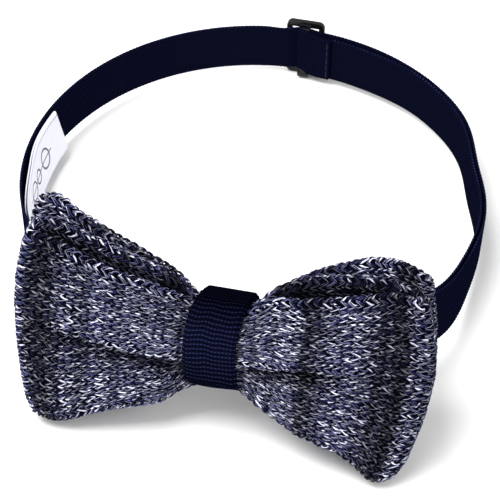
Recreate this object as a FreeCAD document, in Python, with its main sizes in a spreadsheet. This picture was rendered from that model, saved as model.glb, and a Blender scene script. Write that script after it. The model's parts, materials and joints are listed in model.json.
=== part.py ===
import FreeCAD, Part
import math
import os
from FreeCAD import Vector

# A pre-tied knitted bow tie. Millimetres, +Z up, +X along the bow, the wearer's neck in the loop.
# The loop is a ring of strap about the vertical axis (loop_x, loop_y). The bow leans back by bow_lean:
# its own frame has X along the bow, V backwards through it and T up along it from its lower edge.

doc = FreeCAD.newDocument("bow_tie")
sheet = doc.addObject("Spreadsheet::Sheet", "Sizes")
SIZES = [
    ("bow_x", 8.5), ("bow_y", -87.95), ("bow_lift", 0.0), ("bow_lean", 28.0),
    ("front_half_width", 63.5), ("front_height", 60.0), ("front_depth", 9.2),
    ("back_half_width", 60.5), ("back_base", 5.4), ("back_height", 60.5), ("back_depth", 9.2),
    ("bow_gap", 0.3), ("waist_depth", 4.9), ("waist_height", 24.0), ("waist_mid", 34.0), ("knit_wall", 3.0),
    ("pinch_wire", 0.8), ("pinch_width", 6.0),
    ("wrap_width", 16.5), ("wrap_wall", 1.2), ("wrap_height", 30.0),
    ("wrap_front", 8.0), ("wrap_back", 10.3), ("wrap_round", 4.0),
    ("loop_x", 0.0), ("loop_y", 11.55), ("loop_radius", 82.5),
    ("strap_width", 19.5), ("strap_wall", 0.8), ("strap_mid", 12.55), ("strap_seat", 8.3),
    ("strap_step", 3.6),
    ("run_gap", 2.8), ("end_gap", 1.2), ("turn_x", 9.9),
    ("slider_angle", 88.5), ("slider_length", 15.0), ("slider_height", 25.1), ("slider_foot", 0.0),
    ("slider_bar", 2.4), ("slider_wall", 1.8), ("slider_outer", 85.1), ("slider_inner", 79.5),
    ("bar_inner", 79.6), ("bar_outer", 80.9), ("fold_length", 12.0), ("fold_gap", 0.12),
    ("label_start", 168.5), ("label_end", 211.0), ("label_width", 17.0), ("label_wall", 0.3),
    ("label_mid", 12.1), ("label_tilt", -12.0), ("thread", 0.5),
]
for row, (name, value) in enumerate(SIZES, start=1):
    sheet.set(f"A{row}", name)
    sheet.set(f"B{row}", str(value))
    sheet.setAlias(f"B{row}", name)
doc.recompute()
v = {name: float(sheet.get(name)) for name, _ in SIZES}

LEAN = math.radians(v["bow_lean"])
BOW_ORIGIN = Vector(v["bow_x"], v["bow_y"], v["bow_lift"])
BOW_TURN = FreeCAD.Rotation(Vector(1, 0, 0), -v["bow_lean"])
LOOP = Vector(v["loop_x"], v["loop_y"], 0)
NODES = []


def bow_point(x, depth, height):
    """A point of the leaning bow's own frame, in the part's frame."""
    return BOW_ORIGIN + BOW_TURN.multVec(Vector(x, depth, height))


def smooth(low, high, value):
    u = min(max((value - low) / (high - low), 0.0), 1.0)
    return u * u * (3 - 2 * u)


def node(obj, name):
    obj.Label = name
    NODES.append(obj)
    return obj


def body(name):
    return node(doc.addObject("PartDesign::Body", name), name)


def plane(owner, role):
    return next(o for o in owner.Origin.OriginFeatures if o.Role == role)


def sketch(owner, name, role, edges, lift=0.0):
    """A sketch of closed outlines on one of the body's own planes."""
    s = owner.newObject("Sketcher::SketchObject", name)
    s.AttachmentSupport = [(plane(owner, role), "")]
    s.MapMode = "FlatFace"
    s.AttachmentOffset = FreeCAD.Placement(Vector(0, 0, lift), FreeCAD.Rotation())
    for edge in edges:
        s.addGeometry(edge, False)
    return s


def closed(points):
    pts = [Vector(a, b, 0) for a, b in points]
    return [Part.LineSegment(p, q) for p, q in zip(pts, pts[1:] + pts[:1])]


def curves(*runs):
    """Smooth curves through each run of points; each run starts where the last one ends."""
    out = []
    for run in runs:
        pts = [Vector(a, b, 0) for a, b in run]
        if len(pts) == 2:
            out.append(Part.LineSegment(*pts))
        else:
            spline = Part.BSplineCurve()
            spline.interpolate(pts)
            out.append(spline)
    return out


def rectangle(x0, y0, x1, y1):
    return closed([(x0, y0), (x1, y0), (x1, y1), (x0, y1)])


def pad(owner, name, profile, length, reverse=False, middle=False):
    p = owner.newObject("PartDesign::Pad", name)
    p.Profile = profile
    p.setExpression("Length", length)
    p.Reversed = reverse
    p.Midplane = middle
    owner.Tip = p
    return p


def pocket(owner, name, profile):
    p = owner.newObject("PartDesign::Pocket", name)
    p.Profile = profile
    p.Type = 1
    p.Midplane = True
    owner.Tip = p
    return p


# ---------------------------------------------------------------- the two bows
def bow(name, half, base, height, near, far, waist_near, waist_far, lower, upper):
    """A flat loop of knitted tube, pinched at the middle: hollow ends seen from above, bow outline in front."""
    b = body(name)
    wall = v["knit_wall"]
    mid = (near + far) / 2
    pinch = 9.0
    plan = []
    for side in (-1, 1):
        plan += curves(
            [(side * pinch, waist_near), (side * half * 0.45, near + 0.5), (side * (half - 5), near)],
            [(side * (half - 5), near), (side * half, mid), (side * (half - 5), far)],
            [(side * (half - 5), far), (side * half * 0.45, far - 0.5), (side * pinch, waist_far)],
        )
    plan += curves([(-pinch, waist_far), (pinch, waist_far)], [(pinch, waist_near), (-pinch, waist_near)])
    for side in (-1, 1):
        tip, root = side * (half - wall - 1), side * 17.0
        plan += curves(
            [(root, mid), (side * half * 0.5, near + wall + 0.5), (tip - side * 4, near + wall), (tip, mid)],
            [(tip, mid), (tip - side * 4, far - wall), (side * half * 0.5, far - wall - 0.5), (root, mid)],
        )
    ring = sketch(b, name + "_plan", "XY_Plane", plan)
    pad(b, name + "_loop", ring, f"Sizes.{name.split('_')[0]}_height + Sizes.back_base + 1")
    waist_low = v["waist_mid"] - v["waist_height"] / 2
    waist_high = v["waist_mid"] + v["waist_height"] / 2
    foot, crown = half - lower, half - upper
    outline = curves(
        [(-foot, base), (-34, base + 5.5), (-16, waist_low - 4.5), (-8, waist_low), (0, waist_low),
         (8, waist_low), (16, waist_low - 4.5), (34, base + 5.5), (foot, base)],
        [(foot, base), (half - 2, base + height * 0.35), (half, base + height * 0.7), (crown, base + height)],
        [(crown, base + height), (34, base + height - 3.5), (16, waist_high + 4.5), (8, waist_high),
         (0, waist_high), (-8, waist_high), (-16, waist_high + 4.5), (-34, base + height - 3.5),
         (-crown, base + height)],
        [(-crown, base + height), (-half, base + height * 0.7), (-half + 2, base + height * 0.35),
         (-foot, base)],
    )
    frame = rectangle(-half - 9, -9, half + 9, base + height + 12)
    pocket(b, name + "_outline", sketch(b, name + "_face", "XZ_Plane", frame + outline))
    b.Placement = FreeCAD.Placement(BOW_ORIGIN, BOW_TURN)
    return b


gap = v["bow_gap"]
bow("front_bow", v["front_half_width"], 0.0, v["front_height"], -gap - v["front_depth"], -gap,
    -gap - v["waist_depth"], -gap, 8.0, 3.5)
bow("back_bow", v["back_half_width"], v["back_base"], v["back_height"], gap, gap + v["back_depth"],
    gap, gap + v["waist_depth"], 8.0, 4.0)


# ---------------------------------------------------------------- thread and band round the waist
def rounded(x0, y0, x1, y1, r):
    """Four sides and four corner arcs."""
    corners = [(x0 + r, y0 + r, 180), (x1 - r, y0 + r, 270), (x1 - r, y1 - r, 0), (x0 + r, y1 - r, 90)]
    out = []
    ends = []
    for cx, cy, start in corners:
        a, b_ = math.radians(start), math.radians(start + 90)
        circle = Part.Circle(Vector(cx, cy, 0), Vector(0, 0, 1), r)
        out.append(Part.ArcOfCircle(circle, a, b_))
        ends.append([(cx + r * math.cos(t), cy + r * math.sin(t)) for t in (a, b_)])
    for i in range(4):
        (_, p), (q, _) = ends[i], ends[(i + 1) % 4]
        out.append(Part.LineSegment(Vector(*p, 0), Vector(*q, 0)))
    return out


def collar(name, near, far, low, high, wall, radius, width):
    """A closed band round the waist, its section drawn across the bow in the V-T plane."""
    b = body(name)
    section = rounded(near, low, far, high, radius)
    section += rounded(near + wall, low + wall, far - wall, high - wall, radius - wall)
    pad(b, name + "_band", sketch(b, name + "_section", "YZ_Plane", section), width, middle=True)
    b.Placement = FreeCAD.Placement(BOW_ORIGIN, BOW_TURN)
    return b


waist = gap + v["waist_depth"] + gap
thread_half = v["waist_height"] / 2 + gap + v["pinch_wire"]
collar("pinch_thread", -waist - v["pinch_wire"], waist + v["pinch_wire"], v["waist_mid"] - thread_half,
       v["waist_mid"] + thread_half, v["pinch_wire"], 1.4, "Sizes.pinch_width")
wrap_half = v["wrap_height"] / 2
collar("knot_wrap", -v["wrap_front"], v["wrap_back"], v["waist_mid"] - wrap_half, v["waist_mid"] + wrap_half,
       v["wrap_wall"], v["wrap_round"], "Sizes.wrap_width")


# ---------------------------------------------------------------- the strap and the label
def along(theta):
    """Centre of the main strap at an angle round the loop, with its outward and upward directions."""
    def plan(angle):
        a = math.radians(angle)
        x = LOOP.x + v["loop_radius"] * math.cos(a)
        y = LOOP.y + v["loop_radius"] * math.sin(a)
        if math.sin(a) < 0:
            off = abs(x - v["bow_x"])
            seat = bow_point(0, v["strap_seat"], v["waist_mid"]).y + v["strap_step"] * smooth(9.6, 24, off)
            ease = 3.0 * smooth(12, 30, off)
            y = (y + seat + math.hypot(y - seat, ease)) / 2
        return x, y

    x, y = plan(theta)
    (xa, ya), (xb, yb) = plan(theta - 0.05), plan(theta + 0.05)
    tangent = Vector(xb - xa, yb - ya, 0)
    tangent.normalize()
    outward = Vector(tangent.y, -tangent.x, 0)
    front = math.degrees(math.atan2(v["bow_y"] - LOOP.y, v["bow_x"] - LOOP.x))
    away = abs((theta - front + 180) % 360 - 180)
    share = 1 - smooth(11, 80, away)
    lean = LEAN * share
    seat_z = bow_point(0, v["strap_seat"], v["waist_mid"]).z
    z = v["strap_mid"] + (seat_z - v["strap_mid"]) * share
    normal = outward * math.cos(lean) + Vector(0, 0, math.sin(lean))
    up = Vector(0, 0, math.cos(lean)) - outward * math.sin(lean)
    return Vector(x, y, z), normal, up, tangent


def ribbon(name, path, wall, width, tilt=None, mid=None):
    """A flat band on edge. path is a list of (angle, offset outwards from the main strap's centre)."""
    centres = []
    ups = []
    for k, (theta, offset) in enumerate(path):
        centre, normal, up, _ = along(theta)
        lift = 0.0 if mid is None else mid - centre.z
        if tilt is not None:
            turn = math.radians(tilt(theta))
            normal, up = (normal * math.cos(turn) + up * math.sin(turn),
                          up * math.cos(turn) - normal * math.sin(turn))
        centres.append(centre + normal * offset + Vector(0, 0, lift))
        ups.append(up)
    wires = []
    for k, (centre, up) in enumerate(zip(centres, ups)):
        ahead = centres[min(k + 1, len(centres) - 1)] - centres[max(k - 1, 0)]
        side = ahead.cross(up)
        side.normalize()
        side = side * (wall / 2)
        half = up * (width / 2)
        corners = [centre + side - half, centre + side + half, centre - side + half, centre - side - half]
        wires.append(Part.makePolygon(corners + corners[:1]))
    shape = Part.makeLoft(wires, True, False)
    shape.fix(1e-4, 1e-4, 1e-3)
    f = doc.addObject("Part::Feature", name)
    f.Shape = shape
    return node(f, name)


def steps(a, b, count):
    return [a + (b - a) * k / (count - 1) for k in range(count)]


def angle_at(x, guess):
    """Angle of the main strap where it crosses an x behind the bow."""
    for _ in range(60):
        here = along(guess)[0].x
        guess += (x - here) / v["loop_radius"] * 57.3
    return guess


knot_left = angle_at(v["bow_x"] - v["turn_x"], -92.0)
knot_right = angle_at(v["bow_x"] + 6.0, -80.0)
run = v["run_gap"]
turn_half = run / 2
per_degree = v["loop_radius"] * math.pi / 180

strap_path = [(a, v["end_gap"]) for a in steps(knot_right, knot_left - 4, 6)]
strap_path += [(knot_left - a, v["end_gap"] * (1 - smooth(4, 22, a))) for a in steps(7, 22, 5)]
strap_path += [(a, 0.0) for a in steps(knot_left - 27, knot_left - 360 + 3, 64)]
strap_path += [(knot_left - 360 + 1.2, 0.0), (knot_left - 360, 0.0)]
bend = [(knot_left - 360 - turn_half / per_degree * math.sin(a), -turn_half + turn_half * math.cos(a))
        for a in (math.pi * k / 6 for k in range(1, 6))]
strap_path += bend
strap_path += [(knot_left - 360, -run)]
ribbon("neck_strap", strap_path, v["strap_wall"], v["strap_width"])

slider_turn = v["slider_angle"]
bar_mid = (v["bar_inner"] + v["bar_outer"]) / 2
bar_half = (v["bar_outer"] - v["bar_inner"]) / 2
lay_in = v["bar_inner"] - v["fold_gap"] - v["strap_wall"] / 2 - v["loop_radius"]
lay_out = v["bar_outer"] + v["fold_gap"] + v["strap_wall"] / 2 - v["loop_radius"]
fold_end = slider_turn - v["fold_length"] / per_degree
bar_edge = (v["slider_bar"] / 2 + 0.5) / per_degree
join_in = -run - v["strap_wall"] - 0.06

fold_path = [(fold_end, -run), (slider_turn - 9.5 / per_degree, -run)]
fold_path += [(slider_turn - 6.0 / per_degree, -run + 0.25)]
fold_path += [(slider_turn - 3.6 / per_degree, lay_out - 0.45), (slider_turn - bar_edge, lay_out)]
fold_path += [(slider_turn + bar_edge * 0.4, lay_out)]
reach = (lay_out - lay_in) / 2
fold_path += [(slider_turn + bar_edge * 0.55 + reach / per_degree * math.sin(a),
               (lay_out + lay_in) / 2 + reach * math.cos(a)) for a in (math.pi * k / 8 for k in range(1, 8))]
fold_path += [(slider_turn + bar_edge * 0.4, lay_in), (slider_turn - bar_edge, lay_in)]
fold_path += [(slider_turn - 3.6 / per_degree, lay_in - 0.05), (slider_turn - 6.0 / per_degree, join_in)]
fold_path += [(slider_turn - 9.0 / per_degree, join_in), (fold_end + 0.3, join_in)]
ribbon("strap_end_fold", fold_path, v["strap_wall"], v["strap_width"])

return_path = [(a, -run) for a in steps(knot_left + 0.05, fold_end - 0.1, 44)]
ribbon("strap_return_run", return_path, v["strap_wall"], v["strap_width"])


def label_tilt(theta):
    return v["label_tilt"] * (1 - smooth(178, v["label_end"] - 8, theta))


def label_offset(theta):
    return -3.6 + 2.5 * smooth(188, v["label_end"] - 2, theta)


label_out = 0.45
label_path = [(a, label_offset(a) + label_out) for a in steps(v["label_end"], v["label_start"] + 0.5, 16)]
label_path += [(v["label_start"] + 0.5 - label_out / per_degree * math.sin(a),
                label_offset(v["label_start"]) + label_out * math.cos(a))
               for a in (math.pi * k / 6 for k in range(1, 6))]
label_path += [(a, label_offset(a) - label_out) for a in steps(v["label_start"] + 0.5, v["label_end"], 16)]
ribbon("label", label_path, v["label_wall"], v["label_width"], label_tilt, v["label_mid"])


# ---------------------------------------------------------------- the slider
slider = body("slider_frame")
half_l, tall = v["slider_length"] / 2, v["slider_height"]
rail = (tall - v["strap_width"]) / 2 - 0.3
end_bar = 2.2
hoop = rounded(-half_l, 0, half_l, tall, 2.4)
hoop += rectangle(-half_l + end_bar, rail, half_l - end_bar, tall - rail)
pad(slider, "hoop", sketch(slider, "hoop_face", "XZ_Plane", hoop, -v["slider_outer"]), "Sizes.slider_wall")
arm, inset = v["slider_bar"] / 2 + 0.9, 1.0
arms = rectangle(-arm, inset, arm, rail) + rectangle(-arm, tall - rail, arm, tall - inset)
pad(slider, "arms", sketch(slider, "arm_faces", "XZ_Plane", arms, -v["slider_outer"]),
    "Sizes.slider_outer - Sizes.slider_inner")
bar = rectangle(-v["slider_bar"] / 2, inset, v["slider_bar"] / 2, tall - inset)
pad(slider, "middle_bar", sketch(slider, "bar_face", "XZ_Plane", bar, -v["bar_outer"]),
    "Sizes.bar_outer - Sizes.bar_inner")
slider.Placement = FreeCAD.Placement(
    LOOP + Vector(0, 0, v["slider_foot"]), FreeCAD.Rotation(Vector(0, 0, 1), slider_turn - 90)
)


# ---------------------------------------------------------------- sewing
def stitches(name, ends):
    """One length of thread seen as short straight stitches, each let into the cloth it holds."""
    parts = []
    for a, b in ends:
        parts.append(Part.makeCylinder(v["thread"] / 2, a.distanceToPoint(b), a, b - a))
    f = doc.addObject("Part::Feature", name)
    f.Shape = Part.makeCompound(parts)
    return node(f, name)


def strap_stitch(theta, offset, low, high):
    centre, normal, up, _ = along(theta)
    mid = centre + normal * offset
    return mid + up * low, mid + up * high


rows = [-8.4, -5.0, -1.6, 1.8, 5.2]
end_stitch = fold_end + 1.6 / per_degree
stitches("end_fold_stitches", [strap_stitch(end_stitch, join_in - 0.4, r, r + 2.6) for r in rows])
anchor = angle_at(v["bow_x"] + 4.6, -82.0)
stitches("strap_anchor_stitches", [strap_stitch(anchor, v["end_gap"] + 0.35, r, r + 2.6) for r in rows])
wrap_rows = steps(v["waist_mid"] - 11, v["waist_mid"] + 9, 6)
seam = v["wrap_back"] - 0.02
stitches("knot_seam_stitches", [(bow_point(-0.9, seam, r), bow_point(0.9, seam, r + 1.6)) for r in wrap_rows])
label_seam = []
for r in (-7.4, -4.4, -1.4, 1.6, 4.6):
    theta = v["label_end"] - 1.2
    centre, normal, up, _ = along(theta)
    mid = Vector(centre.x, centre.y, v["label_mid"]) + normal * (label_offset(theta) - label_out - 0.1)
    label_seam.append((mid + up * r, mid + up * (r + 2.4)))
stitches("label_stitches", label_seam)

# ---------------------------------------------------------------- checks and files
doc.recompute()
for obj in doc.Objects:
    bad = [s for s in obj.State if s in ("Invalid", "Error")]
    if bad:
        raise RuntimeError(f"{obj.Label} is {bad}")
os.makedirs("parts", exist_ok=True)
for obj in NODES:
    if obj.Shape.isNull() or not obj.Shape.isValid():
        raise RuntimeError(f"{obj.Label} has no valid shape")
    obj.Shape.exportStep(f"parts/{obj.Label}.step")
    box = obj.Shape.BoundBox
    print(obj.Label, len(obj.Shape.Solids), round(obj.Shape.Volume, 1), [round(c, 2) for c in (
        box.XMin, box.YMin, box.ZMin, box.XMax, box.YMax, box.ZMax)])
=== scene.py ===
import json
import math

import bpy
import numpy as np
from mathutils import Matrix, Vector


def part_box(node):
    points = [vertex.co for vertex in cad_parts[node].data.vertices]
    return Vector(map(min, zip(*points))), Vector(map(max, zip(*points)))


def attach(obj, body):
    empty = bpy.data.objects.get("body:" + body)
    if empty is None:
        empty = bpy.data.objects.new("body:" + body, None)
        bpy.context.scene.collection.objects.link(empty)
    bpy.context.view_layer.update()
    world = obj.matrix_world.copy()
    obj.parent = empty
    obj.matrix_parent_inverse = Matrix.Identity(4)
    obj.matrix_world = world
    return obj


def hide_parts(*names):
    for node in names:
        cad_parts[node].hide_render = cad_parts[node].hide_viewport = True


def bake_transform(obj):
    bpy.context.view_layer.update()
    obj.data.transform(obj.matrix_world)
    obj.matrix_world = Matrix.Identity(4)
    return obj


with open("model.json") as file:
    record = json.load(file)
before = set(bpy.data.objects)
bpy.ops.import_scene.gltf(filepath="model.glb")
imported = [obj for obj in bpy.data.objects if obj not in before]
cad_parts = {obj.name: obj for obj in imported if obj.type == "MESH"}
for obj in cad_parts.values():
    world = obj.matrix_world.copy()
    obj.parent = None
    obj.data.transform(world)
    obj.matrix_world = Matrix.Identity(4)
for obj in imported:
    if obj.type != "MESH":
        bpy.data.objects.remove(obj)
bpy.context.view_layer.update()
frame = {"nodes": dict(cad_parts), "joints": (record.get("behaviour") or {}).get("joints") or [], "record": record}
MM = 0.001
rng = np.random.default_rng(7)


# ---------------------------------------------------------------- small helpers
def spline(points):
    """A smooth curve through (x, y) points, for arrays."""
    px, py = (np.array(c, float) for c in zip(*points))
    slope = np.gradient(py, px)

    def value(x):
        x = np.clip(x, px[0], px[-1])
        k = np.clip(np.searchsorted(px, x, side="right") - 1, 0, len(px) - 2)
        h = px[k + 1] - px[k]
        u = (x - px[k]) / h
        return ((2 * u**3 - 3 * u**2 + 1) * py[k] + (u**3 - 2 * u**2 + u) * h * slope[k]
                + (3 * u**2 - 2 * u**3) * py[k + 1] + (u**3 - u**2) * h * slope[k + 1])

    return value


def smooth(low, high, x):
    """An eased step from 0 at low to 1 at high."""
    u = np.clip((np.asarray(x, float) - low) / (high - low), 0, 1)
    return u * u * (3 - 2 * u)


def unit(a):
    """Vectors along the last axis, scaled to length 1."""
    return a / np.maximum(np.linalg.norm(a, axis=-1, keepdims=True), 1e-9)


def lattice(rows, cols, close_rows=False, close_cols=False):
    """Quads of a rows x cols sheet of points, wrapped where asked."""
    r = np.arange(rows if close_rows else rows - 1)
    c = np.arange(cols if close_cols else cols - 1)
    a, b = np.meshgrid(r, c, indexing="ij")
    a2, b2 = (a + 1) % rows, (b + 1) % cols
    quads = np.stack([a * cols + b, a2 * cols + b, a2 * cols + b2, a * cols + b2], -1)
    return quads.reshape(-1, 4)


def piece(name, points, faces, material, uv=None, tones=None):
    """A mesh from points in millimetres. uv is one (u, v) per point, tones named numbers per point."""
    mesh = bpy.data.meshes.new(name)
    metres = np.asarray(points, float).reshape(-1, 3) * MM
    mesh.from_pydata(metres.tolist(), [], faces.tolist() if isinstance(faces, np.ndarray) else faces)
    if uv is not None:
        loops = np.zeros(len(mesh.loops), np.int32)
        mesh.loops.foreach_get("vertex_index", loops)
        layer = mesh.uv_layers.new(name="cloth")
        layer.data.foreach_set("uv", np.asarray(uv, np.float32).reshape(-1, 2)[loops].ravel())
    for key, values in (tones or {}).items():
        attribute = mesh.attributes.new(key, "FLOAT", "POINT")
        attribute.data.foreach_set("value", np.asarray(values, np.float32).ravel())
    mesh.polygons.foreach_set("use_smooth", np.ones(len(mesh.polygons), bool))
    mesh.materials.append(material)
    obj = bpy.data.objects.new(name, mesh)
    bpy.context.scene.collection.objects.link(obj)
    return obj


def tubes(lines, facing, radius, sides):
    """Open-ended tubes round curves. lines and facing are (curve, sample, 3), radius is (curve, sample)."""
    tangent = unit(np.gradient(lines, axis=1))
    across = unit(np.cross(tangent, facing))
    out = unit(np.cross(across, tangent))
    angle = np.arange(sides) * 2 * np.pi / sides
    ring = out[:, :, None] * np.cos(angle)[:, None] + across[:, :, None] * np.sin(angle)[:, None]
    points = lines[:, :, None] + ring * radius[:, :, None, None]
    step = np.linalg.norm(np.diff(lines, axis=1), axis=-1)
    length = np.concatenate([np.zeros((len(lines), 1)), np.cumsum(step, axis=1)], axis=1)
    around = np.broadcast_to(angle / (2 * np.pi), points.shape[:3])
    along = np.broadcast_to(length[:, :, None], points.shape[:3])
    n, m = lines.shape[:2]
    one = lattice(m, sides, close_cols=True)
    faces = (one[None] + (np.arange(n) * m * sides)[:, None, None]).reshape(-1, 4)
    return points.reshape(-1, 3), faces, np.stack([around, along], -1).reshape(-1, 2)


# ---------------------------------------------------------------- materials
class Nodes:
    """A new material, with short ways to add and link its nodes."""

    def __init__(self, name):
        self.material = bpy.data.materials.new(name)
        self.material.use_nodes = True
        self.tree = self.material.node_tree
        self.shader = self.tree.nodes["Principled BSDF"]

    def add(self, kind, **values):
        node = self.tree.nodes.new(kind)
        for key, value in values.items():
            setattr(node, key, value)
        return node

    def link(self, a, b):
        self.tree.links.new(a, b)

    def math(self, operation, a, b=None):
        node = self.add("ShaderNodeMath", operation=operation)
        for k, value in enumerate((a, b)):
            if value is None:
                continue
            if isinstance(value, (int, float)):
                node.inputs[k].default_value = value
            else:
                self.link(value, node.inputs[k])
        return node.outputs[0]

    def uv(self):
        node = self.add("ShaderNodeUVMap", uv_map="cloth")
        parts = self.add("ShaderNodeSeparateXYZ")
        self.link(node.outputs[0], parts.inputs[0])
        return parts.outputs[0], parts.outputs[1]

    def point(self, x, y, z=0.0):
        node = self.add("ShaderNodeCombineXYZ")
        for k, value in enumerate((x, y, z)):
            if isinstance(value, (int, float)):
                node.inputs[k].default_value = value
            else:
                self.link(value, node.inputs[k])
        return node.outputs[0]

    def noise(self, vector, scale, detail=2.0):
        node = self.add("ShaderNodeTexNoise")
        node.inputs["Scale"].default_value = scale
        node.inputs["Detail"].default_value = detail
        self.link(vector, node.inputs["Vector"])
        return node.outputs[0]

    def ramp(self, value, stops):
        node = self.add("ShaderNodeValToRGB")
        elements = node.color_ramp.elements
        while len(elements) < len(stops):
            elements.new(0.5)
        for element, (where, colour) in zip(elements, stops):
            element.position = where
            element.color = (*colour, 1.0)
        self.link(value, node.inputs[0])
        return node.outputs[0]

    def mix(self, factor, a, b, blend="MIX"):
        node = self.add("ShaderNodeMix", data_type="RGBA", blend_type=blend)
        for value, socket in ((factor, node.inputs[0]), (a, node.inputs[6]), (b, node.inputs[7])):
            if isinstance(value, (int, float)):
                socket.default_value = value
            elif isinstance(value, tuple):
                socket.default_value = (*value, 1.0)
            else:
                self.link(value, socket)
        return node.outputs[2]

    def bump(self, height, strength, distance):
        node = self.add("ShaderNodeBump")
        node.inputs["Strength"].default_value = strength
        node.inputs["Distance"].default_value = distance
        self.link(height, node.inputs["Height"])
        self.link(node.outputs[0], self.shader.inputs["Normal"])

    def surface(self, colour, rough, **values):
        if isinstance(colour, tuple):
            self.shader.inputs["Base Color"].default_value = (*colour, 1.0)
        else:
            self.link(colour, self.shader.inputs["Base Color"])
        self.shader.inputs["Roughness"].default_value = rough
        for key, value in values.items():
            self.shader.inputs[key].default_value = value
        return self.material


def yarn_material():
    """Marled yarn: pale lavender, grey, navy and near black plies twist round each other along its length."""
    m = Nodes("marled_yarn")
    u, along = m.uv()
    tone = m.add("ShaderNodeAttribute", attribute_name="tone").outputs["Fac"]
    wander = m.noise(m.point(m.math("MULTIPLY", along, 0.16), m.math("MULTIPLY", tone, 9.0)), 1.0, 1.0)
    turn = m.math("ADD", u, m.math("DIVIDE", along, 12.0))
    turn = m.math("ADD", turn, m.math("MULTIPLY", wander, 2.4))
    turn = m.math("ADD", turn, m.math("MULTIPLY", tone, 7.0))
    ply = m.math("FRACT", turn)
    white, grey = (0.60, 0.61, 0.75), (0.10, 0.105, 0.20)
    navy, black = (0.010, 0.012, 0.055), (0.0015, 0.0015, 0.004)
    stops = [(0.0, white), (0.17, white), (0.19, black), (0.38, black), (0.40, navy), (0.54, navy),
             (0.56, grey), (0.66, grey), (0.68, black), (0.80, black), (0.82, navy), (0.97, black)]
    colour = m.ramp(ply, stops)
    fibre = m.noise(m.point(m.math("MULTIPLY", u, 14.0), m.math("MULTIPLY", along, 1.3)), 1.0, 3.0)
    shade = m.ramp(fibre, [(0.3, (0.62, 0.62, 0.66)), (0.62, (1.1, 1.1, 1.1))])
    colour = m.mix(1.0, colour, shade, "MULTIPLY")
    # The band attribute multiplies the colour: a random tone per course with painted shade on the inner faces and
    # under the front crease, and a painted highlight above that crease.
    band = m.add("ShaderNodeAttribute", attribute_name="band").outputs["Color"]
    colour = m.mix(1.0, colour, band, "MULTIPLY")
    groove = m.math("ABSOLUTE", m.math("SINE", m.math("MULTIPLY", ply, 12.566)))
    m.bump(m.math("ADD", groove, m.math("MULTIPLY", fibre, 0.5)), 0.8, 0.00022)
    return m.surface(colour, 0.85, **{"Specular IOR Level": 0.03})


def backing_material():
    m = Nodes("knit_backing")
    where = m.add("ShaderNodeTexCoord").outputs["Object"]
    speck = m.noise(where, 900.0, 2.0)
    # Near black: painted shade standing in for the dark seen through the gaps between the yarn loops.
    colour = m.ramp(speck, [(0.4, (0.001, 0.001, 0.003)), (0.7, (0.006, 0.007, 0.02))])
    m.bump(speck, 0.8, 0.0005)
    return m.surface(colour, 0.95, **{"Specular IOR Level": 0.0})


def weave_material(name, px, py, dot, base, bright, ribs=0.0, rows=False):
    """A fine woven ribbon: raised dots, each row half a dot along from the last, or plain wavy rows with painted
    highlight and painted shade that change from row to row.
    """
    m = Nodes(name)
    along, across = m.uv()
    wave = m.noise(m.point(m.math("MULTIPLY", along, 0.12), m.math("MULTIPLY", across, 0.05)), 1.0, 1.0)
    row = m.math("ADD", across, m.math("MULTIPLY", wave, 3.2 if rows else 0.9))
    a = m.math("COSINE", m.math("MULTIPLY", along, math.pi / px))
    b = m.math("COSINE", m.math("MULTIPLY", row, math.pi / py))
    if rows:
        a = m.math("ADD", m.math("MULTIPLY", m.math("ABSOLUTE", a), 0.8), 0.2)
    height = m.math("MAXIMUM", m.math("MULTIPLY", a, b), 0.0)
    thread = m.noise(m.point(m.math("MULTIPLY", along, 3.0), m.math("MULTIPLY", across, 9.0)), 1.0, 2.0)
    mask = m.ramp(height, [(0.25, (0.0, 0.0, 0.0)), (0.8, (1.0, 1.0, 1.0))])
    colour = m.mix(mask, base, bright)
    tint = m.ramp(thread, [(0.3, (0.72, 0.72, 0.75)), (0.7, (1.15, 1.15, 1.15))])
    colour = m.mix(1.0, colour, tint, "MULTIPLY")
    relief = m.math("ADD", height, m.math("MULTIPLY", thread, 0.25))
    if rows:
        # Painted light round the knot's ring (second cloth coordinate, in mm): a painted highlight across the
        # middle of its front, painted shade over its top roll, the rest a little darker.
        levels = ((0.0, 0.75), (0.10, 1.2), (0.17, 1.15), (0.23, 0.6), (0.28, 0.25), (0.36, 0.25),
                  (0.45, 0.8))
        painted_ring_light = m.ramp(m.math("DIVIDE", across, 100.0), [(at, (level,) * 3) for at, level in levels])
        colour = m.mix(1.0, colour, painted_ring_light, "MULTIPLY")
    if ribs:
        rib = m.math("ABSOLUTE", m.math("SINE", m.math("MULTIPLY", along, math.pi / 1.9)))
        relief = m.math("ADD", relief, m.math("MULTIPLY", rib, ribs))
    m.bump(relief, 0.9, dot * MM)
    return m.surface(colour, 0.6, **{"Specular IOR Level": 0.0})


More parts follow.
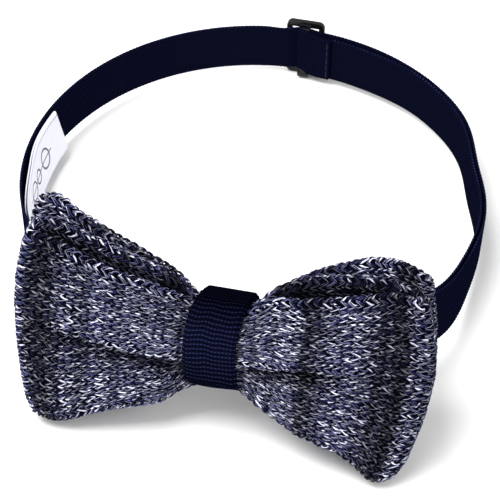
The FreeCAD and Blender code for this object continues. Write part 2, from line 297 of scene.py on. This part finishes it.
def satin_material():
    """White satin with a dotted edge line and a plain ornament of three rings on a bar."""
    m = Nodes("label_satin")
    along, across = m.uv()
    middle, ring_line, bar_line = 8.2, 0.42, 0.28
    sheen = m.noise(m.point(m.math("MULTIPLY", along, 0.35), m.math("MULTIPLY", across, 8.0)), 1.0, 2.0)
    colour = m.ramp(sheen, [(0.3, (0.70, 0.71, 0.80)), (0.7, (0.86, 0.87, 0.94))])
    edge = m.math("COMPARE", across, 15.6)
    edge.node.inputs[2].default_value = 0.35
    dash = m.math("GREATER_THAN", m.math("SINE", m.math("MULTIPLY", along, 2 * math.pi / 1.3)), -0.1)
    colour = m.mix(m.math("MULTIPLY", edge, dash), colour, (0.30, 0.33, 0.52))
    ink = None
    for cx, radius in ((76.0, 3.6), (85.5, 2.5), (93.0, 3.4)):
        dx = m.math("SUBTRACT", along, cx)
        dy = m.math("SUBTRACT", across, middle)
        far = m.math("SQRT", m.math("ADD", m.math("MULTIPLY", dx, dx), m.math("MULTIPLY", dy, dy)))
        ring = m.math("COMPARE", far, radius)
        ring.node.inputs[2].default_value = ring_line
        ink = ring if ink is None else m.math("MAXIMUM", ink, ring)
    bar = m.math("COMPARE", across, middle)
    bar.node.inputs[2].default_value = bar_line
    reach = m.math("COMPARE", along, 84.5)
    reach.node.inputs[2].default_value = 14.5
    ink = m.math("MAXIMUM", ink, m.math("MULTIPLY", bar, reach))
    colour = m.mix(ink, colour, (0.035, 0.02, 0.09))
    m.bump(m.math("SINE", m.math("MULTIPLY", across, 14.0)), 0.15, 0.0001)
    return m.surface(colour, 0.38, **{"Sheen Weight": 0.1})


def plastic_material():
    m = Nodes("slider_black")
    where = m.add("ShaderNodeTexCoord").outputs["Object"]
    grain = m.noise(where, 700.0, 3.0)
    m.bump(grain, 0.2, 0.0001)
    colour = m.ramp(grain, [(0.3, (0.003, 0.003, 0.004)), (0.7, (0.007, 0.007, 0.009))])
    return m.surface(colour, 0.38, **{"Specular IOR Level": 0.25})


def thread_material(name, colour):
    m = Nodes(name)
    where = m.add("ShaderNodeTexCoord").outputs["Object"]
    twist = m.noise(where, 2500.0, 2.0)
    m.bump(twist, 0.5, 0.0001)
    dark = tuple(c * 0.6 for c in colour)
    return m.surface(m.ramp(twist, [(0.3, dark), (0.7, colour)]), 0.7, **{"Specular IOR Level": 0.1})


YARN = yarn_material()
BACKING = backing_material()
RIBBON = weave_material("ribbon_weave", 0.62, 0.7, dot=0.16, base=(0.0016, 0.0019, 0.007),
                        bright=(0.011, 0.013, 0.044), ribs=0.5)
BAND = weave_material("knot_weave", 1.15, 0.72, dot=0.2, base=(0.0018, 0.0021, 0.008),
                      bright=(0.015, 0.018, 0.052), rows=True)
BEAD = weave_material("ribbon_edge", 0.8, 0.8, dot=0.15, base=(0.006, 0.008, 0.03),
                      bright=(0.022, 0.03, 0.10))
SATIN = satin_material()
BLACK = plastic_material()
NAVY_THREAD = thread_material("navy_thread", (0.02, 0.022, 0.06))
WHITE_THREAD = thread_material("white_thread", (0.8, 0.81, 0.86))

# ---------------------------------------------------------------- the bow's own frame
# Lengths here are millimetres. The bow's frame has x across it, depth towards the neck, height up it.
LEAN = math.radians(28.0)
WAIST = 34.0
WAIST_DEPTH = 1.15
wrap_low, wrap_high = (np.array(c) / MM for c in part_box("knot_wrap"))
wrap_mid = (wrap_low + wrap_high) / 2
ACROSS = np.array([1.0, 0.0, 0.0])
BACKWARD = np.array([0.0, math.cos(LEAN), -math.sin(LEAN)])
UPWARD = np.array([0.0, math.sin(LEAN), math.cos(LEAN)])
BOW = wrap_mid - BACKWARD * WAIST_DEPTH - UPWARD * WAIST


def bow_points(x, depth, height):
    return (BOW + np.asarray(x)[..., None] * ACROSS + np.asarray(depth)[..., None] * BACKWARD
            + np.asarray(height)[..., None] * UPWARD)


class Loop:
    """One flattened tube of knit, laid out as a loop: front run, right fold, back run, left fold.

    a goes once round the loop from 0 to 1, b counts wales round the tube: 0 to FACE up its outer face,
    then over the top edge and down the inner face. ROLL is the wales in a rolled edge, FOLD the reach in
    millimetres of the fold at each end.
    """

    FACE = 24.0
    ROLL = 1.6
    FOLD = 1.6

    def __init__(self, front, back, half, low_front, high_front, low_back, high_back, thick, relief, ends):
        xs = np.linspace(-1, 1, 300)
        turn = np.linspace(0, np.pi, 40)[1:-1]
        reach = half - self.FOLD
        mid, gap = (front(reach) + back(reach)) / 2, (back(reach) - front(reach)) / 2
        run = reach * xs
        right = np.stack([reach + self.FOLD * np.sin(turn), mid - gap * np.cos(turn)], 1)
        mid, gap = (front(-reach) + back(-reach)) / 2, (back(-reach) - front(-reach)) / 2
        left = np.stack([-reach - self.FOLD * np.sin(turn), mid + gap * np.cos(turn)], 1)
        path = np.concatenate([np.stack([run, front(run)], 1), right,
                               np.stack([run[::-1], back(run[::-1])], 1), left])
        path = np.concatenate([path, path[:1]])
        step = np.concatenate([[0], np.cumsum(np.linalg.norm(np.diff(path, axis=0), axis=1))])
        self.length = step[-1]
        self.at, self.path = step / step[-1], path
        self.front, self.back, self.half = front, back, half
        self.limits = (low_front, high_front, low_back, high_back)
        self.thick, self.relief, self.ends = thick, relief, ends

    def plan(self, a):
        a = np.mod(a, 1.0)
        return np.interp(a, self.at, self.path[:, 0]), np.interp(a, self.at, self.path[:, 1])

    def place(self, a, b):
        """Points of the tube's surface, in the part's frame."""
        x, depth = self.plan(a)
        (x_before, depth_before), (x_after, depth_after) = self.plan(a - 0.002), self.plan(a + 0.002)
        run_x, run_depth = x_after - x_before, depth_after - depth_before
        long = np.hypot(run_x, run_depth)
        out_x, out_depth = run_depth / long, -run_x / long
        front, back = self.front(x), self.back(x)
        share = smooth(0.15, 0.85, (depth - front) / np.maximum(back - front, 0.1))
        low_front, high_front, low_back, high_back = (limit(x) for limit in self.limits)
        low, high = low_front + (low_back - low_front) * share, high_front + (high_back - high_front) * share
        t = self.thick(np.abs(x))
        r = t / 2
        up = np.clip(b, 0, self.FACE) / self.FACE
        over = np.clip((b - self.FACE) / self.ROLL, 0, 1) * np.pi
        under = np.clip(-b / self.ROLL, 0, 1) * np.pi
        down = np.clip(b - self.FACE - self.ROLL, 0, None) / self.FACE
        rise = np.clip(-b - self.ROLL, 0, None) / self.FACE
        height = low + r + (high - low - t) * (up - down + rise) + r * np.sin(over) - r * np.sin(under)
        off = r * np.where(b > self.FACE, np.cos(over), np.where(b < 0, np.cos(under), 1.0))
        outer = np.clip(off / r, 0, 1)
        off = off + self.relief(x, height, 1 - share) * (0.35 + 0.65 * outer)
        side = np.where(x < 0, self.ends[0](height), self.ends[1](height)) / (self.half + 2.0)
        squeeze = 1 - (1 - side) * (np.abs(x) / self.half) ** 3
        return bow_points((x + out_x * off) * squeeze, depth + out_depth * off, height)

    def facing(self, a, b):
        da, db = 0.0015, 0.12
        along = self.place(a + da, b) - self.place(a - da, b)
        up = self.place(a, b + db) - self.place(a, b - db)
        return unit(np.cross(along, up))


def knit(name, loop, courses, low, high, samples, sides=6):
    """Yarn looped through itself, one course after another round the loop, over a thin dark backing.

    low and high are the wales where each course starts and ends, samples the points per wale and sides
    those round the yarn.
    """
    wales = high - low
    m = int(wales * samples) + 1
    tau = np.linspace(0, wales * 2 * np.pi, m)
    course = np.arange(courses)
    jitter = rng.normal(0, 1, (courses, int(wales) + 2, 4))
    which = np.clip((tau / (2 * np.pi)).astype(int), 0, int(wales))
    blend = tau / (2 * np.pi) - which
    noise = jitter[:, which] * (1 - blend)[None, :, None] + jitter[:, which + 1] * blend[None, :, None]
    pitch = loop.length / courses
    a = (course[:, None] + 0.5) / courses
    b = low + (tau[None] - 0.35 * np.sin(2 * tau[None])) / (2 * np.pi) + noise[..., 0] * 0.05
    swing = (0.58 * np.cos(tau)[None] + noise[..., 1] * 0.07) * pitch / loop.length
    a = a - swing
    base = loop.place(a, b)
    normal = loop.facing(a, b)
    here = np.linalg.norm(loop.place(a, b + 0.5) - loop.place(a, b - 0.5), axis=-1)
    radius = np.clip(0.12 + 0.15 * here, 0.22, 0.47)
    lift = -radius * 0.75 * np.cos(2 * tau)[None] + noise[..., 2] * 0.10
    lines = base + normal * (lift + 0.25)[..., None]
    points, faces, uv = tubes(lines, normal, radius * (1 + noise[..., 3] * 0.05), sides)
    tone = np.repeat(rng.random(courses), m * sides)
    # Band tone: a random tone per course (the yarn's own uneven colour), times painted shade that darkens the
    # inner face past the top roll, times the painted shade under and painted highlight above the front crease.
    rough = np.convolve(rng.normal(0, 1, courses + 2), (0.35, 0.85, 0.35), "valid")
    band = np.clip(0.92 + 0.5 * rough, 0.25, 1.6)[:, None] * (1 - 0.85 * smooth(0.6, 2.6, b - loop.FACE))
    band = np.repeat((band * painted_crease_light(base)).ravel(), sides)
    yarn = piece(name + "_yarn", points, faces, YARN, uv, {"tone": tone, "band": band})
    ga = np.linspace(0, 1, 2 * courses, endpoint=False)
    gb = np.concatenate([np.linspace(0, loop.FACE, 34), loop.FACE + loop.ROLL * np.linspace(0.2, 1, 5),
                         loop.FACE + loop.ROLL + np.linspace(1.2, loop.FACE, 22),
                         -loop.ROLL * np.linspace(0.8, 0.2, 4)])
    aa, bb = np.meshgrid(ga, gb, indexing="ij")
    # The backing shell just under the yarn; its near-black colour is painted shade for the gaps between the loops.
    shell = loop.place(aa, bb) - loop.facing(aa, bb) * 0.35
    back = piece(name, shell, lattice(len(ga), len(gb), True, True), BACKING)
    return back, yarn


def curve(*points):
    """A spline, written with its points as arguments."""
    return spline(points)


def mirrored(*points):
    """A curve that is the same on both sides of x = 0, from its right half."""
    return spline([(-x, y) for x, y in points[:0:-1]] + list(points))


def crease_line(x):
    """The height of the long fold across each wing."""
    left = curve((-62, 33.5), (-37, 29.5), (-11, 27), (0, 27))(x)
    right = curve((0, 28), (11, 28.5), (26, 31), (42, 33), (62, 34))(x)
    return np.where(x < 0, left, right)


def crease(x, height, front):
    """The long fold across each wing's front, and the small gathers that run out from the knot."""
    s = height - crease_line(x)
    step = smooth(-1.0, 1.0, s)
    shape = np.exp(-np.maximum(s, 0) / 10) * step - 0.8 * np.exp(np.minimum(s, 0) / 6) * (1 - step)
    strength = np.where(x < 0, 2.4 * (1 - smooth(46, 62, -x)), 2.4 * (1 - smooth(30, 52, x)))
    off = np.abs(x)
    gathers = np.cos(height * 0.62 + np.where(x < 0, 0.6, 2.0)) * 0.9 * np.exp(-((off - 10) / 12) ** 2)
    gathers += 0.5 * np.cos(height * 0.3 - off * 0.06 + 1.0) * np.exp(-((off - 28) / 16) ** 2)
    return (shape * strength + gathers) * front


def painted_crease_light(points):
    """Painted light by the front face's crease: painted shade just below it (under 1), a painted highlight a
    little above it (a little over 1).
    """
    local = points - BOW
    x, height, depth = local @ ACROSS, local @ UPWARD, local @ BACKWARD
    s = height - crease_line(x)
    share = np.where(x < 0, 1 - smooth(42, 62, -x), 1 - smooth(26, 48, x)) * (1 - smooth(-5.5, -4.0, depth))
    return 1 + share * (0.25 * np.exp(-((s - 4.5) / 4) ** 2) - 0.6 * np.exp(-((s + 3.0) / 3.2) ** 2))


def calm(x, height, front):
    """The back bow's surface: only small gathers by the knot."""
    return 0.8 * np.cos(height * 0.5 + 0.4) * np.exp(-((np.abs(x) - 10) / 12) ** 2)


thickness = curve((0, 2.2), (9, 2.2), (20, 2.9), (40, 3.4), (65, 3.4))
ends_front = (
    curve((-2, 56.5), (0, 57.3), (6, 60.0), (13, 62.0), (20, 63.4), (31, 65.0), (44, 65.6), (54, 64.6),
          (62, 63.0)),
    curve((-4, 57.0), (0, 58.0), (6, 60.5), (14, 62.6), (22, 64.2), (34, 65.4), (43, 64.8), (50, 63.0),
          (60, 59.5)),
)
ends_back = (
    curve((4, 56.0), (20, 61.0), (34, 64.0), (50, 65.0), (60, 65.0), (66, 64.0), (70, 63.0)),
    curve((4, 56.0), (20, 61.0), (31, 64.5), (42, 64.3), (50, 63.0), (57, 61.5), (62, 60.5), (67, 60.0)),
)

front_loop = Loop(
    front=mirrored((0, -3.9), (9, -4.3), (25, -7.2), (45, -8.0), (66, -7.0)),
    back=mirrored((0, -1.4), (9, -1.4), (25, -1.8), (45, -2.2), (66, -2.6)),
    half=65.0,
    low_front=curve((-66, 1), (-54, 0), (-47, 1.5), (-41, 4), (-31, 7.5), (-24, 9.5), (-16, 12), (-10, 17),
                    (0, 20), (9, 18.5), (15.5, 15), (20, 12.5), (25, 10), (33, 8), (41, 6), (48, 3), (56, -1),
                    (66, 0)),
    high_front=curve((-66, 60), (-58, 59.5), (-50, 57), (-36, 52.5), (-25, 50), (-11, 45.8), (0, 42),
                     (10, 46.5), (17, 51), (23, 52), (34, 54.5), (43, 56.8), (54, 59), (66, 58)),
    low_back=curve((-66, 2), (-54, 1), (-41, 5), (-24, 10.5), (-10, 19), (0, 21), (10, 19), (24, 11),
                   (41, 6.5), (54, 1), (66, 2)),
    high_back=curve((-66, 63), (-57, 63.5), (-51, 62), (-42, 59.4), (-35, 57.2), (-25, 54.4), (-11, 47),
                    (0, 42), (10, 47), (20, 55), (26, 57.8), (32, 59.4), (42, 61), (53, 61), (66, 59)),
    thick=thickness, relief=crease, ends=ends_front)
back_low = mirrored((0, 22), (8, 22), (16, 18), (34, 9), (50, 5.5), (64, 6))
back_loop = Loop(
    front=mirrored((0, 1.5), (9, 1.5), (25, 2.6), (45, 3.2), (64, 3.4)),
    back=mirrored((0, 4.0), (9, 4.0), (25, 6.6), (45, 7.7), (64, 7.4)),
    half=64.0,
    low_front=back_low,
    high_front=curve((-64, 69), (-58, 69.5), (-52, 66), (-45, 61.8), (-38, 59), (-28, 55), (-18, 50),
                     (-11, 46), (0, 42), (10, 46.5), (14, 51), (19, 54), (28, 59.6), (35, 62.3), (43, 65),
                     (52, 65.5), (64, 62)),
    low_back=back_low,
    high_back=curve((-64, 65), (-58, 66), (-50, 63), (-38, 58), (-28, 54), (-18, 50), (-11, 45.5), (0, 42),
                    (10, 46), (19, 53), (28, 58), (35, 61), (43, 63.5), (52, 64), (64, 61)),
    thick=thickness, relief=calm, ends=ends_back)

detail = 12
front_base, front_yarn = knit("front_bow_knit", front_loop, 104, -Loop.ROLL, 31.0, detail)
back_base, back_yarn = knit("back_bow_knit", back_loop, 100, -Loop.ROLL, 31.0, detail)
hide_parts("front_bow")
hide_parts("back_bow")
for obj in (front_base, front_yarn, back_base, back_yarn):
    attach(obj, "tie")


# ---------------------------------------------------------------- the knot band
def knot_band():
    """A band with a soft full front, pulled a little to one side at mid height."""
    section = np.array([(-8.4, 21.5), (-9.6, 27.0), (-9.9, 33.0), (-9.4, 39.0), (-7.9, 44.0), (-4.4, 47.0),
                        (1.2, 47.8), (6.5, 47.4), (9.7, 45.4), (10.3, 41.0), (10.3, 34.0), (10.3, 26.0),
                        (9.7, 21.5), (6.5, 18.9), (1.2, 18.3), (-4.0, 18.6)])
    around = 128
    place = np.linspace(0, len(section), around, endpoint=False)
    k = place.astype(int)
    u = (place - k)[:, None]
    p0, p1, p2, p3 = (section[(k + d) % len(section)] for d in (-1, 0, 1, 2))
    ring = 0.5 * (2 * p1 + (p2 - p0) * u + (2 * p0 - 5 * p1 + 4 * p2 - p3) * u**2
                  + (3 * p1 - p0 - 3 * p2 + p3) * u**3)
    tangent = unit(np.roll(ring, -1, 0) - np.roll(ring, 1, 0))
    outward = np.stack([-tangent[:, 1], tangent[:, 0]], 1)
    forward = smooth(4, -8, ring[:, 0])
    width, half_width, thick = np.linspace(-1, 1, 41), 8.5, 1.1
    length = np.concatenate([[0], np.cumsum(np.linalg.norm(np.diff(ring, axis=0), axis=1))])
    layers = []
    for inner in (0, 1):
        w = width[None] * (half_width - 0.35 * inner)
        t = ring[:, 1][:, None]
        belly = np.sin(np.clip((t - 19) / 30, 0, 1) * np.pi)
        x = w * (1 - 0.02 * belly) - (0.7 + 1.9 * belly) * forward[:, None]
        edge = np.abs(width)[None]
        crown = 0.5 * forward[:, None] * (1 - edge**2) - 0.9 * smooth(0.86, 1.0, edge) * (1 - inner)
        fold = 0.16 * np.sin(t * 0.8 + w * 0.35) * forward[:, None]
        off = crown + fold - thick * inner
        depth = ring[:, 0][:, None] + outward[:, 0][:, None] * off
        height = t + outward[:, 1][:, None] * off
        layers.append(bow_points(x, depth, height))
    grid = np.concatenate([layers[0], layers[1][:, ::-1]], axis=1)
    along = np.broadcast_to(length[:, None], grid.shape[:2])
    across = np.broadcast_to(np.concatenate([width, width[::-1]])[None] * half_width, grid.shape[:2])
    uv = np.stack([across, along], -1)
    return piece("knot_band", grid, lattice(around, grid.shape[1], True, True), BAND, uv)


band = knot_band()
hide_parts("knot_wrap")
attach(band, "tie")

# ---------------------------------------------------------------- the strap
strap_low, strap_high = (np.array(c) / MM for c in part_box("neck_strap"))
hinge = frame["joints"][0]
CENTRE = np.array(hinge["pos_m"][:2]) / MM
RADIUS = (strap_high[0] - strap_low[0]) / 2 - 0.5
DEGREE = RADIUS * math.pi / 180
TURN = np.pi * np.arange(1, 12) / 12
WIDTH, WALL, RUN_GAP, END_GAP = 19.5, 0.8, 2.8, 1.2
STRAP_Z = (np.array(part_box("slider_frame")[1]) / MM)[2] / 2
SEAT = BOW + BACKWARD * 8.3 + UPWARD * WAIST


def along_strap(theta):
    """Centre line, outward and upward directions of the main strap, for angles in degrees.

    It is a circle but for a fuller stretch by the right wing and a flatter one after it, and its front
    lies against the back of the knot, where it leans with the bow.
    """

    def plan(angle):
        r = np.radians(angle)
        turn = np.mod(angle + 180, 360) - 180
        swell = 5.0 * np.exp(-((turn + 36) / 15) ** 2) - 3.2 * np.exp(-((turn - 15) / 13) ** 2)
        x, y = CENTRE[0] + (RADIUS + swell) * np.cos(r), CENTRE[1] + (RADIUS + swell) * np.sin(r)
        off = np.abs(x - BOW[0])
        seat = SEAT[1] + 3.6 * smooth(9.6, 24, off)
        ease = 3.0 * smooth(12, 30, off)
        return x, np.where(np.sin(r) < 0, (y + seat + np.hypot(y - seat, ease)) / 2, y)

    theta = np.asarray(theta, float)
    x, y = plan(theta)
    (xa, ya), (xb, yb) = plan(theta - 0.05), plan(theta + 0.05)
    tangent = unit(np.stack([xb - xa, yb - ya, 0 * x], -1))
    outward = np.stack([tangent[..., 1], -tangent[..., 0], 0 * x], -1)
    front = math.degrees(math.atan2(BOW[1] - CENTRE[1], BOW[0] - CENTRE[0]))
    away = np.abs((theta - front + 180) % 360 - 180)
    share = 1 - smooth(11, 80, away)
    lean = (LEAN * share)[..., None]
    z = STRAP_Z + (SEAT[2] - STRAP_Z) * share
    up = np.array([0, 0, 1.0])
    normal = outward * np.cos(lean) + up * np.sin(lean)
    return np.stack([x, y, z], -1), normal, up * np.cos(lean) - outward * np.sin(lean)


def angle_at(x, guess):
    """The angle at which the front of the strap passes x, in degrees, found from a guess."""
    for _ in range(60):
        guess = guess + (x - along_strap(guess)[0][0]) / DEGREE
    return float(guess)


def ribbon_line(path, tilt=None, mid=None):
    """The line of (angle, offset) points along the strap, with its side and upward directions."""
    theta, offset = (np.array(c, float) for c in zip(*path))
    centre, normal, up = along_strap(theta)
    if mid is not None:
        centre = centre + np.array([0, 0, 1.0]) * (mid - centre[:, 2:3])
    if tilt is not None:
        turn = np.radians(tilt(theta))[:, None]
        normal, up = normal * np.cos(turn) + up * np.sin(turn), up * np.cos(turn) - normal * np.sin(turn)
    line = centre + normal * offset[:, None]
    side = unit(np.cross(np.gradient(line, axis=0), up))
    return line, side, up


def ribbon(name, path, wall, width, material, tilt=None, mid=None, across=15, shape=None):
    """A flat band on edge with soft edges: one closed skin, its length and width its cloth coordinates."""
    line, side, up = ribbon_line(path, tilt, mid)
    length = np.concatenate([[0], np.cumsum(np.linalg.norm(np.diff(line, axis=0), axis=1))])
    f = np.linspace(-1, 1, across)
    thin = wall / 2 * (1 - 0.5 * smooth(0.9, 1.0, np.abs(f)))
    rise = np.broadcast_to(f * width / 2, (len(line), across))
    if shape is not None:
        top, low = shape(np.array([p[0] for p in path]))
        rise = rise + np.maximum(f, 0)[None] * top[:, None] + np.maximum(-f, 0)[None] * low[:, None]
    face = line[:, None] + up[:, None] * rise[..., None]
    outer = face + side[:, None] * thin[None, :, None]
    inner = face - side[:, None] * thin[None, :, None]
    grid = np.concatenate([outer, inner[:, ::-1]], axis=1)
    place = np.concatenate([f, f[::-1]]) * width / 2 + width / 2
    uv = np.stack(np.broadcast_arrays(length[:, None], place[None]), -1)
    faces = lattice(len(line), grid.shape[1], close_cols=True).tolist()
    cols = grid.shape[1]
    faces.append(list(range(cols))[::-1])
    faces.append([(len(line) - 1) * cols + k for k in range(cols)])
    return piece(name, grid, faces, material, uv)


def edge_beads(name, path, height, slant=0.5, shape=None):
    """A row of small slanted turns of yarn along one edge of the ribbon."""
    pitch, size = 1.55, (0.62, 0.34, 0.42)
    line, side, up = ribbon_line(path)
    length = np.concatenate([[0], np.cumsum(np.linalg.norm(np.diff(line, axis=0), axis=1))])
    if shape is not None:
        line = line + up * shape(np.array([p[0] for p in path]))[0 if height > 0 else 1][:, None]
    at = np.arange(pitch / 2, length[-1], pitch)
    get = lambda a: np.stack([np.interp(at, length, a[:, c]) for c in range(3)], -1)
    where, out, rise = get(line), unit(get(side)), unit(get(up))
    run = unit(np.cross(rise, out))
    where = where + rise * height
    lon, lat = 8, 5
    t = np.linspace(0, np.pi, lat)[:, None]
    p = np.linspace(0, 2 * np.pi, lon, endpoint=False)[None]
    ball = np.stack([np.cos(t) + 0 * p, np.sin(t) * np.cos(p), np.sin(t) * np.sin(p)], -1).reshape(-1, 3)
    long = unit(run + rise * slant)
    short = np.cross(long, out)
    pts = (where[:, None] + ball[None, :, :1] * size[0] * long[:, None]
           + ball[None, :, 1:2] * size[1] * short[:, None] + ball[None, :, 2:] * size[2] * out[:, None])
    one = lattice(lat, lon, close_cols=True)
    faces = (one[None] + (np.arange(len(at)) * lat * lon)[:, None, None]).reshape(-1, 4)
    uv = np.stack([np.repeat(at, lat * lon), np.tile(ball[:, 0], len(at))], -1)
    return piece(name, pts, faces, BEAD, uv)


SLIDE = 88.5
BEAD_IN = 0.2


def bunched(theta, amount=1.0):
    """How far the cloth's top and bottom edges rise where it is drawn together through the slider."""
    off = np.mod(theta - SLIDE + 180, 360) - 180
    top = 2.6 * np.exp(-((off - 0.3) / 3.2) ** 2) - 1.3 * np.exp(-((off - 6.5) / 3.0) ** 2)
    return amount * top, amount * 2.6 * np.exp(-((off - 0.8) / 2.0) ** 2)


def creased(theta):
    """The slighter bunching of the strap that runs through the slider."""
    return bunched(theta, 0.4)


# The strap starts behind the knot outside its far end, goes once round and folds inward at the end.
left = angle_at(BOW[0] - 9.9, -92.0)
right = angle_at(BOW[0] + 6.0, -80.0)
half = RUN_GAP / 2
path = [(a, END_GAP) for a in np.linspace(right, left - 4, 8)]
path += [(left - a, END_GAP * (1 - float(smooth(4, 22, a)))) for a in np.linspace(7, 22, 7)]
path += [(a, 0.0) for a in np.linspace(left - 25, left - 357, 420)]
path += [(left - 358.8, 0.0), (left - 360, 0.0)]
path += [(left - 360 - half / DEGREE * math.sin(a), half * math.cos(a) - half) for a in TURN]
path += [(left - 360, -RUN_GAP)]
strap = ribbon("strap_main", path, WALL, WIDTH, RIBBON, shape=creased)
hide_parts("neck_strap")
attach(strap, "tie")
main = [(a, 0.0) for a in np.linspace(left - 40, left - 340, 240)]
for name, height, slant in (
    ("strap_top_edge", WIDTH / 2 - BEAD_IN, 0.5),
    ("strap_low_edge", -WIDTH / 2 + BEAD_IN, -0.5),
):
    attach(edge_beads(name, main, height, slant, creased), "tie")

# The folded end leaves the return run, passes outside the middle bar, turns round it and comes back inside.
BAR_IN, BAR_OUT, CLEAR = 79.6 - RADIUS, 80.9 - RADIUS, 0.12
lay_in, lay_out = BAR_IN - CLEAR - WALL / 2, BAR_OUT + CLEAR + WALL / 2
reach = (lay_out - lay_in) / 2
fold_end = SLIDE - 12.0 / DEGREE
bar = 1.7 / DEGREE
join = -RUN_GAP - WALL - 0.06
path = [(fold_end, -RUN_GAP), (SLIDE - 9.5 / DEGREE, -RUN_GAP), (SLIDE - 6.0 / DEGREE, -RUN_GAP + 0.25),
        (SLIDE - 3.6 / DEGREE, lay_out - 0.45), (SLIDE - bar, lay_out), (SLIDE + bar * 0.4, lay_out)]
path += [(SLIDE + bar * 0.55 + reach / DEGREE * math.sin(a), (lay_out + lay_in) / 2 + reach * math.cos(a))
         for a in TURN]
path += [(SLIDE + bar * 0.4, lay_in), (SLIDE - bar, lay_in), (SLIDE - 3.6 / DEGREE, lay_in - 0.05),
         (SLIDE - 6.0 / DEGREE, join), (SLIDE - 9.0 / DEGREE, join), (fold_end + 0.3, join)]
end_fold = ribbon("strap_fold", path, WALL, WIDTH, RIBBON, shape=bunched)
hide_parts("strap_end_fold")
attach(end_fold, "adjuster")

# The return run, inside the main run from the knot to the slider.
angles = np.linspace(left + 0.05, fold_end - 0.1, 240)
near = smooth(12, 45, angles - left) * smooth(8, 30, fold_end - angles)
path = list(zip(angles, -RUN_GAP + 1.3 * near))
inner_run = ribbon("strap_inner_run", path, WALL, WIDTH, RIBBON)
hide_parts("strap_return_run")
beads = edge_beads("inner_run_edge", path, WIDTH / 2 - BEAD_IN)
start, end = along_strap(np.array([left + 6.0, fold_end - 3.0]))[0] * MM
for obj in (inner_run, beads):
    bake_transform(obj)


# ---------------------------------------------------------------- the label
def label_tilt(theta):
    """How far the label leans off the strap, in degrees."""
    return -12.0 * (1 - smooth(178, 203, theta))


def label_offset(theta):
    """How far inside the strap's centre line the label hangs."""
    return -3.6 + 2.5 * float(smooth(188, 209, theta))


LEAF, LABEL_SEWN, LABEL_FOLD = 0.45, 211, 169
path = [(a, label_offset(a) + LEAF) for a in np.linspace(LABEL_SEWN, LABEL_FOLD, 40)]
path += [(LABEL_FOLD - LEAF / DEGREE * math.sin(a), label_offset(LABEL_FOLD - 0.5) + LEAF * math.cos(a))
         for a in np.pi * np.arange(1, 8) / 8]
path += [(a, label_offset(a) - LEAF) for a in np.linspace(LABEL_FOLD, LABEL_SEWN, 40)]
label = ribbon("care_label", path, 0.3, 17.0, SATIN, label_tilt, 12.1, across=19)
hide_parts("label")
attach(label, "tie")


# ---------------------------------------------------------------- the slider and the sewing
def dressed(node, name, material, bevel=0.0, tight=1.0):
    """The CAD piece's own mesh in a new material, its edges rounded by bevel, scaled by tight."""
    source = frame["nodes"][node]
    mesh = source.data.copy()
    mesh.materials.clear()
    mesh.materials.append(material)
    low, high = (Vector(c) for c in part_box(node))
    middle = (low + high) / 2
    mesh.transform(Matrix.Translation(middle) @ Matrix.Scale(tight, 4) @ Matrix.Translation(-middle))
    obj = bpy.data.objects.new(name, mesh)
    bpy.context.scene.collection.objects.link(obj)
    if bevel:
        weld = obj.modifiers.new("weld", "WELD")
        weld.merge_threshold = 1e-6
        round_off = obj.modifiers.new("round", "BEVEL")
        round_off.width, round_off.segments, round_off.limit_method = bevel * MM, 3, "ANGLE"
    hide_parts(node)
    return obj


body = {n: b for b, names in frame["record"]["behaviour"]["bodies"].items() for n in names}
for node, name, material, slot, bevel, tight in (
    ("slider_frame", "adjuster_slider", BLACK, "slider_plastic", 0.35, 1.0),
    ("pinch_thread", "gather_thread", NAVY_THREAD, "thread", 0.0, 0.94),
    ("knot_seam_stitches", "knot_seam", NAVY_THREAD, "thread", 0.0, 1.0),
    ("end_fold_stitches", "fold_seam", NAVY_THREAD, "thread", 0.0, 1.0),
    ("strap_anchor_stitches", "anchor_seam", NAVY_THREAD, "thread", 0.0, 1.0),
    ("label_stitches", "label_seam", WHITE_THREAD, "label_thread", 0.0, 1.0),
):
    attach(dressed(node, name, material, bevel, tight), body[node])

# ---------------------------------------------------------------- floor, light and camera
FLOOR_HALF, FLOOR_Z = 3, -0.0002
floor_mesh = bpy.data.meshes.new("floor")
corners = [(x * FLOOR_HALF, y * FLOOR_HALF, FLOOR_Z) for x, y in ((-1, -1), (1, -1), (1, 1), (-1, 1))]
floor_mesh.from_pydata(corners, [], [(0, 1, 2, 3)])
floor = bpy.data.objects.new("floor", floor_mesh)
bpy.context.scene.collection.objects.link(floor)
paper = Nodes("floor_paper").surface((0.93, 0.93, 0.93), 0.9)
floor_mesh.materials.append(paper)

world = bpy.data.worlds.new("studio")
bpy.context.scene.world = world
world.use_nodes = True
world.node_tree.nodes["Background"].inputs[0].default_value = (1, 1, 1, 1)
world.node_tree.nodes["Background"].inputs[1].default_value = 0.7


def lamp(name, where, target, size, watts):
    light = bpy.data.lights.new(name, "AREA")
    light.size, light.energy = size, watts
    obj = bpy.data.objects.new(name, light)
    obj.location = where
    obj.rotation_euler = (Vector(target) - Vector(where)).to_track_quat("-Z", "Y").to_euler()
    bpy.context.scene.collection.objects.link(obj)


lamp("key", (-0.32, -0.12, 0.85), (0, -0.03, 0.02), 0.6, 11.0)
lamp("fill", (0.7, -0.4, 0.6), (0, 0, 0.02), 0.8, 2.5)

# The camera looks from a little to the right of the front, and well above.
AZIMUTH, ELEVATION, DISTANCE = math.radians(12.5), math.radians(46.4), 0.491
target = Vector((0.00455, -0.0167, 0.011))
direction = Vector((math.sin(AZIMUTH) * math.cos(ELEVATION), -math.cos(AZIMUTH) * math.cos(ELEVATION),
                    math.sin(ELEVATION)))
lens = bpy.data.cameras.new("camera")
lens.sensor_width, lens.lens = 36.0, 102.4
lens.clip_start, lens.clip_end = 0.01, 20
camera = bpy.data.objects.new("camera", lens)
camera.location = target + direction * DISTANCE
camera.rotation_euler = direction.to_track_quat("Z", "Y").to_euler()
bpy.context.scene.collection.objects.link(camera)
bpy.context.scene.camera = camera
bpy.context.scene.view_settings.view_transform = "Standard"
